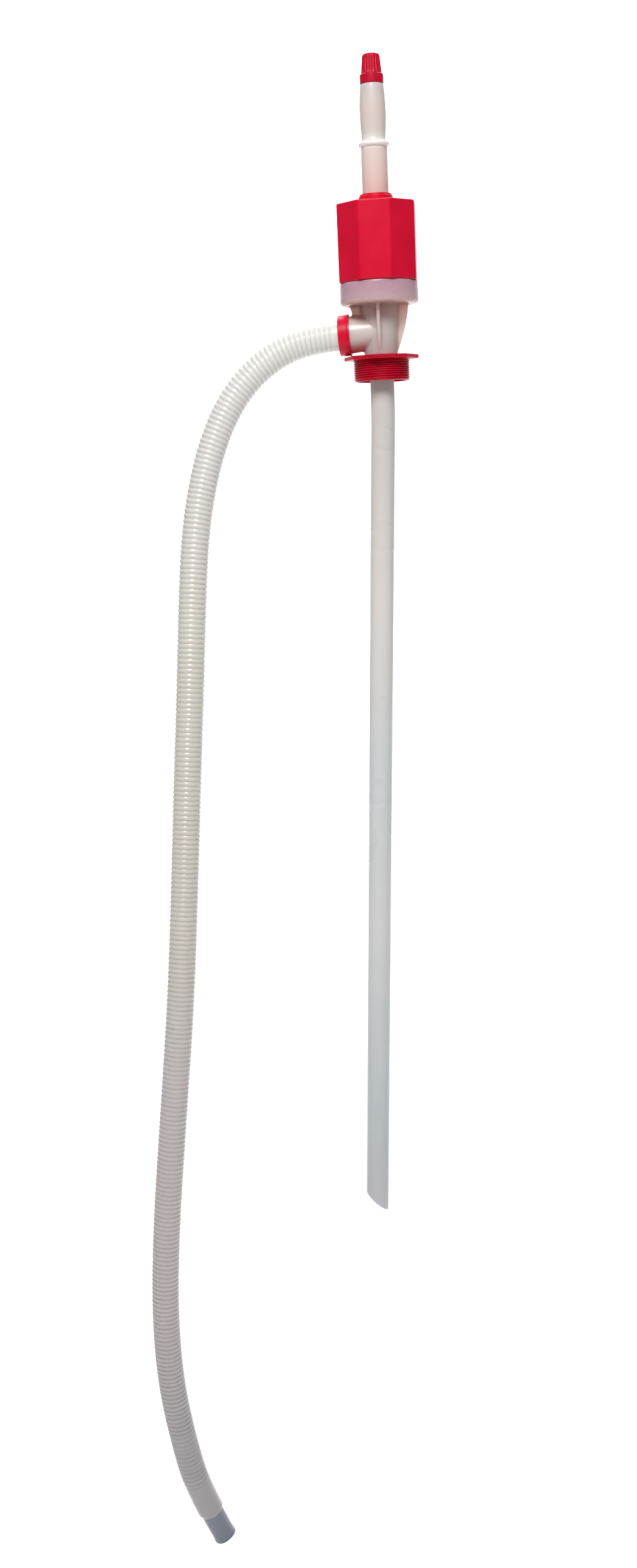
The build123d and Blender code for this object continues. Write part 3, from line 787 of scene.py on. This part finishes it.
def make_nozzle():
    """Soft vinyl nozzle: a plain tube with a flared, slightly wavy lip."""
    turn = Vector((0, 0, 1)).rotation_difference(nozzle_way).to_matrix().to_4x4()
    place = Matrix.Translation(nozzle_place - nozzle_way * NOZZLE_INSERTION * MM) @ turn
    outer, shown, bore, lip = 12.9, 13.2, 10.5, 14.2
    outline = [(bore, 0.3), (outer - 0.6, 0.3), (outer, 1.2), (outer, NOZZLE_INSERTION)]
    end = NOZZLE_LENGTH
    outline += [(shown, NOZZLE_INSERTION + 0.4), (shown - 0.1, 44), (shown, 53)]
    outline += [(lip - 0.5, end - 3), (lip, end - 1.4), (lip - 0.5, end - 0.3)]
    outline += [(lip - 1.6, end - 0.2), (lip - 2.6, end - 1.2), (bore, 52)]

    def wavy(angle, radius, height):
        near_lip = ease((height - 46) / 14)
        return radius - 0.45 * near_lip * (1 + math.sin(3 * angle + 0.6))

    nozzle = turned("vinyl_nozzle", soften(outline, 0.5, 2), place, 72, wavy)
    finish(nozzle, blue_grey_vinyl, "pump_head", "outlet_nozzle")
    return nozzle


nozzle = make_nozzle()

# ---- Materials on the CAD nodes that stay ----
for name, material in {
    "adapter_retaining_ring": acetal,
    "inlet_valve_seat": acetal,
    "inlet_valve_disc": rubber,
    "outlet_valve_seat": acetal,
    "outlet_valve_flap": rubber,
    "outlet_hinge_pin": steel,
    "cylinder_base": red_housing,
    "housing_gasket": rubber,
    "rod_seal": rubber,
    "piston_head": acetal,
    "piston_seal": rubber,
    "piston_nut": acetal,
    "vent_seal": rubber,
}.items():
    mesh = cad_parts[name].data
    mesh.materials.clear()
    mesh.materials.append(material)

# ---- Studio ----
FLOOR_GAP = 400 * MM
STAGE_REACH = 8.0
STAGE_DEPTH = 5.4
STAGE_BEND = 1.2
AIR_STRENGTH = 0.2
# Each light's name, its place, what it is aimed at and its size in metres, and its power in watts.
LIGHTS = [
    ("softbox", (-0.1, -2.5, 2.3), (0, 0, -0.3), (1.2, 1.2), 105),
    ("floor_wash", (0, 1.8, 2.6), (0, 3.4, -1.0), (3.0, 1.6), 150),
    ("backdrop_wash", (0, 4.4, 3.0), (0, 6.6, 0.2), (5.0, 1.6), 250),
]


def make_stage():
    """A pale floor that curves up into a backdrop."""
    floor_height = cad_bounds[0][2] - FLOOR_GAP
    profile = [(-STAGE_REACH, 0.0), (STAGE_DEPTH, 0.0)]
    for angle in evenly(0, math.pi / 2, math.pi / 24)[1:]:
        profile.append((STAGE_DEPTH + STAGE_BEND * math.sin(angle), STAGE_BEND * (1 - math.cos(angle))))
    profile.append((STAGE_DEPTH + STAGE_BEND, STAGE_REACH))
    points = []
    for depth, height in profile:
        points.append((-STAGE_REACH, depth, floor_height + height))
        points.append((STAGE_REACH, depth, floor_height + height))
    faces = [(2 * row, 2 * row + 1, 2 * row + 3, 2 * row + 2) for row in range(len(profile) - 1)]
    mesh = bpy.data.meshes.new("studio_floor")
    mesh.from_pydata(points, [], faces)
    mesh.shade_smooth()
    floor = bpy.data.objects.new("studio_floor", mesh)
    collection.objects.link(floor)
    paper = bpy.data.materials.new("white_paper")
    paper.use_nodes = True
    shader = paper.node_tree.nodes["Principled BSDF"]
    shader.inputs["Base Color"].default_value = hex_colour("#fbfbfb")
    shader.inputs["Roughness"].default_value = 0.9
    mesh.materials.append(paper)


def add_light(name, place, target, size, power):
    """A rectangular area light, aimed at its target."""
    data = bpy.data.lights.new(name, "AREA")
    data.shape = "RECTANGLE"
    data.size, data.size_y = size
    data.energy = power
    light = bpy.data.objects.new(name, data)
    collection.objects.link(light)
    light.location = place
    aim = Vector(target) - Vector(place)
    light.rotation_euler = aim.to_track_quat("-Z", "Y").to_euler()


def light_studio():
    """A softbox high before the pump, and washes on the floor and the backdrop."""
    world = bpy.data.worlds.new("studio_air")
    scene.world = world
    world.use_nodes = True
    air = world.node_tree.nodes["Background"]
    air.inputs["Color"].default_value = (1, 1, 1, 1)
    air.inputs["Strength"].default_value = AIR_STRENGTH
    for settings in LIGHTS:
        add_light(*settings)
    scene.view_settings.view_transform = "Standard"


make_stage()
light_studio()
